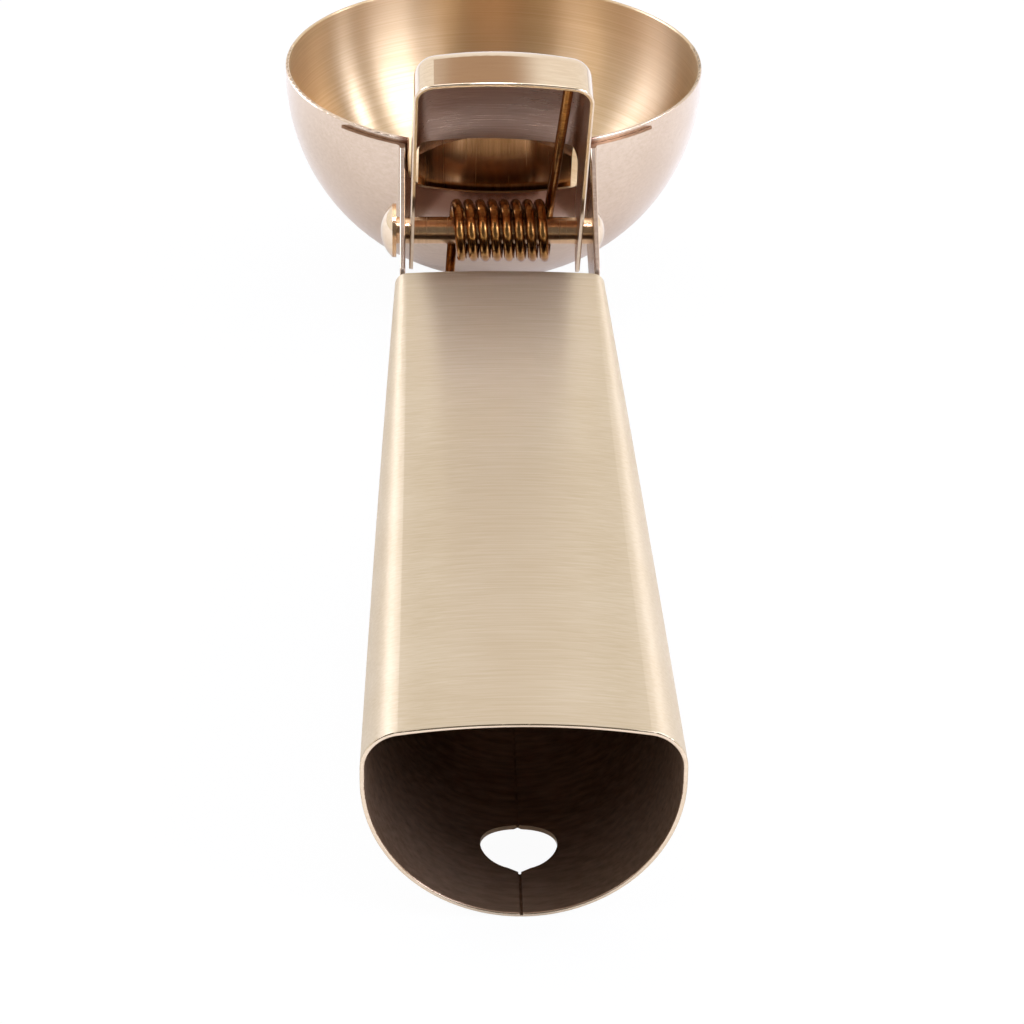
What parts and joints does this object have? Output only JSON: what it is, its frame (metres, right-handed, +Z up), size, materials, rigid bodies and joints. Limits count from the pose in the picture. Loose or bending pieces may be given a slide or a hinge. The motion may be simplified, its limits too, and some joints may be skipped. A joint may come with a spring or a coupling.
{
  "type": "ice cream scoop",
  "caption": "Brass ice cream scoop: round bowl, tapered D-section tube handle with a hang hole, and a sprung thumb lever whose blade sweeps the ball out.",
  "frame": {"origin": "on the surface that the scoop lies on, under the middle of its box", "axes": "+Y from the handle's end to the bowl, +X to the right seen from the handle, +Z up, with the bowl's rim level"},
  "size_m": [0.056, 0.186, 0.0491],
  "materials": {
    "bowl_brass": "polished outside, circular brushing inside",
    "handle_brass": "fine brushing across the handle",
    "cheek_brass": "polished",
    "lever_brass": "polished pad, brushed web",
    "rivet_brass": "satin",
    "spring_wire": "bright drawn wire"
  },
  "bodies": {
    "scoop": {"bowl": "bowl_brass", "handle_tube": "handle_brass", "left_cheek": "cheek_brass", "right_cheek": "cheek_brass", "pivot_rivet": "rivet_brass", "return_spring": "spring_wire"},
    "lever": {"lever_hood": "lever_brass", "ejector_blade": "lever_brass"}
  },
  "joints": [
    {"name": "lever_pivot", "type": "hinge", "parent": "scoop", "child": "lever", "pos_m": [0, 0.0318, 0.01975], "axis": [1, 0, 0], "range_deg": [0, 42], "stiffness_Nm_per_rad": 0.2, "springref_deg": -28.65, "deforming": ["return_spring"]}
  ]
}
